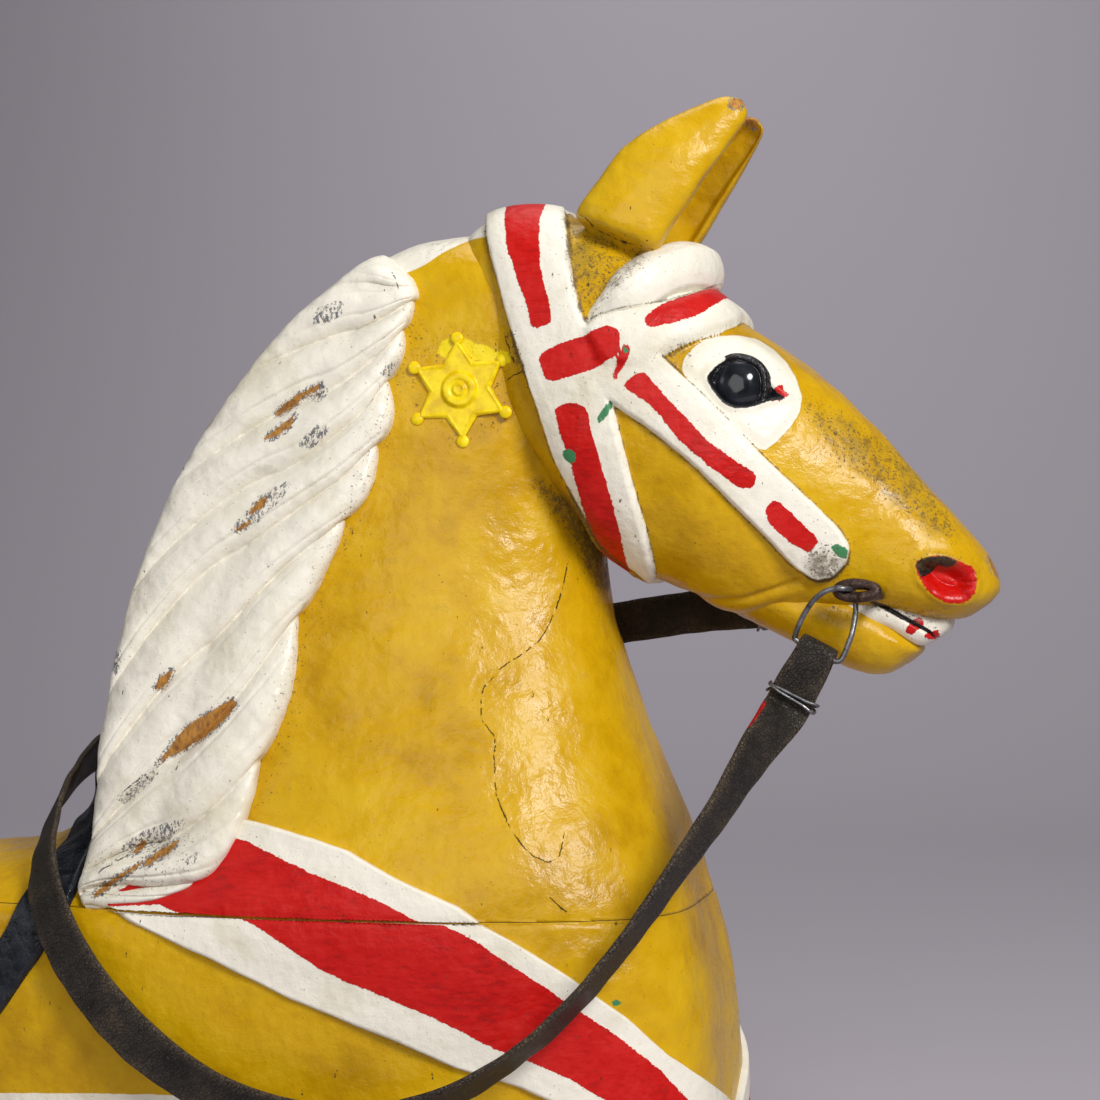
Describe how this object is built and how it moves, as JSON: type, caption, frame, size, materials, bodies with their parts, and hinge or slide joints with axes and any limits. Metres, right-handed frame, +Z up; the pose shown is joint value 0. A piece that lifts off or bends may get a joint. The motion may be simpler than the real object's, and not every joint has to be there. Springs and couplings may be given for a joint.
{
  "type": "carousel horse bust",
  "caption": "Carved and painted carousel horse bust, cut flat below and behind, with rolled mane, bridle and collar in relief, glass eyes, star badge and slack leather rein.",
  "frame": {"origin": "centre of the bust's bounding box on its flat underside, the loose rein left out", "axes": "+X is the way the horse faces, +Z is up, and the right side, with the mane and the badge, faces -Y"},
  "size_m": [0.6508, 0.305, 0.6027],
  "materials": {
    "painted_wood": "thick gloss paint, mustard yellow with cream and red bands, chipped and cracked",
    "black_glass": "polished black",
    "badge_paint": "yellow paint, slightly worn",
    "bit_iron": "dark brown paint over iron",
    "steel_wire": "dull grey",
    "rein_leather": "old, cracked and dry"
  },
  "bodies": {
    "root": {"carved_horse": "painted_wood", "glass_eye_right": "black_glass", "glass_eye_left": "black_glass", "star_badge": "badge_paint", "bit_eye_right": "bit_iron", "bit_eye_left": "bit_iron", "wire_link_right": "steel_wire", "wire_link_left": "steel_wire", "rein_binding_right": "steel_wire", "rein_binding_left": "steel_wire", "rein": "rein_leather"}
  },
  "joints": []
}
